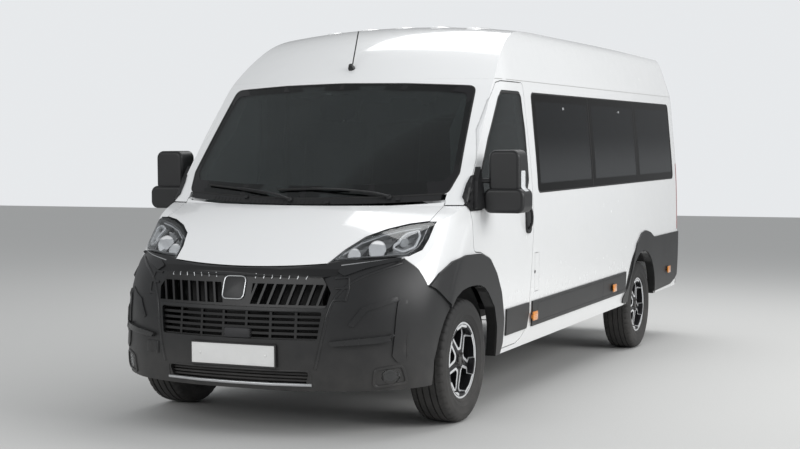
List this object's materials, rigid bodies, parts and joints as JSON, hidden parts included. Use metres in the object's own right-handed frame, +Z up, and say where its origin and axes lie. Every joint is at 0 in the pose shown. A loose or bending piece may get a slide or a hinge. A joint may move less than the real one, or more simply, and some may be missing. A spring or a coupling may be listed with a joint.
{
  "type": "long-wheelbase high-roof minibus",
  "caption": "White long-wheelbase high-roof minibus with front-wheel drive, opening cab doors, rear doors, bonnet and fuel flap, steered and rolling wheels.",
  "frame": {"origin": "on the ground, midway along the length and the width", "axes": "+X to the vehicle's left, -Y to the front, +Z up"},
  "size_m": [2.566, 6.3729, 2.5258],
  "materials": {
    "white_paint": "gloss clear coat",
    "dark_plastic": "fine grained matte",
    "tinted_glass": "dark tint",
    "clear_glass": "clear",
    "lamp": "clear lens over bright reflector",
    "red_lamp": "gloss",
    "amber_lamp": "gloss",
    "plate": "satin",
    "underbody": "satin black",
    "cast": "rough",
    "engine": "cast",
    "tank": "blow moulded",
    "steel": "dull",
    "tyre": "dusty black",
    "alloy": "machined faces, dark pockets",
    "trim_inside": "grained",
    "seat_cloth": "woven"
  },
  "bodies": {
    "body": {"antenna": "dark_plastic", "chassis": "underbody", "cowl_tray": "dark_plastic", "dashboard": "trim_inside", "engine_block": "engine", "exhaust": "steel", "floor_pan": "underbody", "front_arch_liners": "dark_plastic", "front_arch_trims": "dark_plastic", "front_bumper": "dark_plastic", "front_lamps": "lamp", "front_seats": "seat_cloth", "front_subframe": "underbody", "front_wings": "white_paint", "fuel_tank": "tank", "grab_poles": "trim_inside", "grilles": "dark_plastic", "marker_lamps": "amber_lamp", "number_plate": "plate", "passenger_seats": "seat_cloth", "radiator": "engine", "rear_axle": "underbody", "rear_bumper": "dark_plastic", "rear_quarter_trims": "dark_plastic", "rear_sill": "white_paint", "roof_panel": "white_paint", "side_glass": "tinted_glass", "side_mouldings": "dark_plastic", "side_panel_left": "white_paint", "side_panel_right": "white_paint", "sliding_door": "white_paint", "spare_wheel": "tyre", "strut_towers": "underbody", "tail_lamps": "red_lamp", "windscreen": "clear_glass"},
    "cab_door_left": {"cab_door_left": "white_paint", "cab_door_glass_left": "clear_glass", "cab_door_trim_left": "dark_plastic"},
    "cab_door_right": {"cab_door_right": "white_paint", "cab_door_glass_right": "clear_glass", "cab_door_trim_right": "dark_plastic"},
    "rear_door_left": {"rear_door_left": "white_paint", "rear_door_glass_left": "tinted_glass"},
    "rear_door_right": {"rear_door_right": "white_paint", "rear_door_glass_right": "tinted_glass"},
    "bonnet": {"bonnet": "white_paint"},
    "fuel_flap": {"fuel_flap": "white_paint"},
    "steering_wheel": {"steering_wheel": "trim_inside"},
    "knuckle_left": {"knuckle_left": "cast"},
    "knuckle_right": {"knuckle_right": "cast"},
    "wheel_front_left": {"tyre_front_left": "tyre", "rim_front_left": "alloy"},
    "wheel_front_right": {"tyre_front_right": "tyre", "rim_front_right": "alloy"},
    "wheel_rear_left": {"tyre_rear_left": "tyre", "rim_rear_left": "alloy"},
    "wheel_rear_right": {"tyre_rear_right": "tyre", "rim_rear_right": "alloy"}
  },
  "joints": [
    {"name": "steer_left", "type": "hinge", "parent": "body", "child": "knuckle_left", "pos_m": [0.8, -2.23028, 0.21804], "axis": [-0.2349, -0.0221, 0.9718], "range_deg": [-35, 35]},
    {"name": "wheel_spin_front_left", "type": "hinge", "parent": "knuckle_left", "child": "wheel_front_left", "pos_m": [0.888, -2.2335, 0.36], "axis": [1, 0, 0], "continuous": true},
    {"name": "wheel_spin_rear_left", "type": "hinge", "parent": "body", "child": "wheel_rear_left", "pos_m": [0.878, 1.8015, 0.36], "axis": [1, 0, 0], "continuous": true},
    {"name": "cab_door_hinge_left", "type": "hinge", "parent": "body", "child": "cab_door_left", "pos_m": [1.0075, -2.14232, 0.97023], "axis": [0, 0.0227, -0.9997], "range_deg": [0, 54]},
    {"name": "rear_door_hinge_left", "type": "hinge", "parent": "body", "child": "rear_door_left", "pos_m": [0.871, 3.12677, 0.76171], "axis": [0, 0.0227, -0.9997], "range_deg": [0, 180]},
    {"name": "steer_right", "type": "hinge", "parent": "body", "child": "knuckle_right", "pos_m": [-0.8, -2.23028, 0.21804], "axis": [0.2349, -0.0221, 0.9718], "range_deg": [-35, 35]},
    {"name": "wheel_spin_front_right", "type": "hinge", "parent": "knuckle_right", "child": "wheel_front_right", "pos_m": [-0.888, -2.2335, 0.36], "axis": [1, 0, 0], "continuous": true},
    {"name": "wheel_spin_rear_right", "type": "hinge", "parent": "body", "child": "wheel_rear_right", "pos_m": [-0.878, 1.8015, 0.36], "axis": [1, 0, 0], "continuous": true},
    {"name": "cab_door_hinge_right", "type": "hinge", "parent": "body", "child": "cab_door_right", "pos_m": [-1.0075, -2.14232, 0.97023], "axis": [0, -0.0227, 0.9997], "range_deg": [0, 54]},
    {"name": "rear_door_hinge_right", "type": "hinge", "parent": "body", "child": "rear_door_right", "pos_m": [-0.871, 3.12677, 0.76171], "axis": [0, -0.0227, 0.9997], "range_deg": [0, 180]},
    {"name": "bonnet_hinge", "type": "hinge", "parent": "body", "child": "bonnet", "pos_m": [0, -2.23429, 1.27622], "axis": [-1, 0, 0], "range_deg": [0, 55]},
    {"name": "fuel_flap_hinge", "type": "hinge", "parent": "body", "child": "fuel_flap", "pos_m": [1.01, -0.9403, 0.67442], "axis": [0, -0.0227, 0.9997], "range_deg": [0, 100]},
    {"name": "steering_wheel_turn", "type": "hinge", "parent": "body", "child": "steering_wheel", "pos_m": [0.43, -1.69213, 1.1875], "axis": [0, 0.5255, 0.8508], "range_deg": [-525, 525]}
  ],
  "couplings": [
    {"joint": "steer_right", "follows": "steer_left", "ratio": 1},
    {"joint": "steering_wheel_turn", "follows": "steer_left", "ratio": 15}
  ]
}
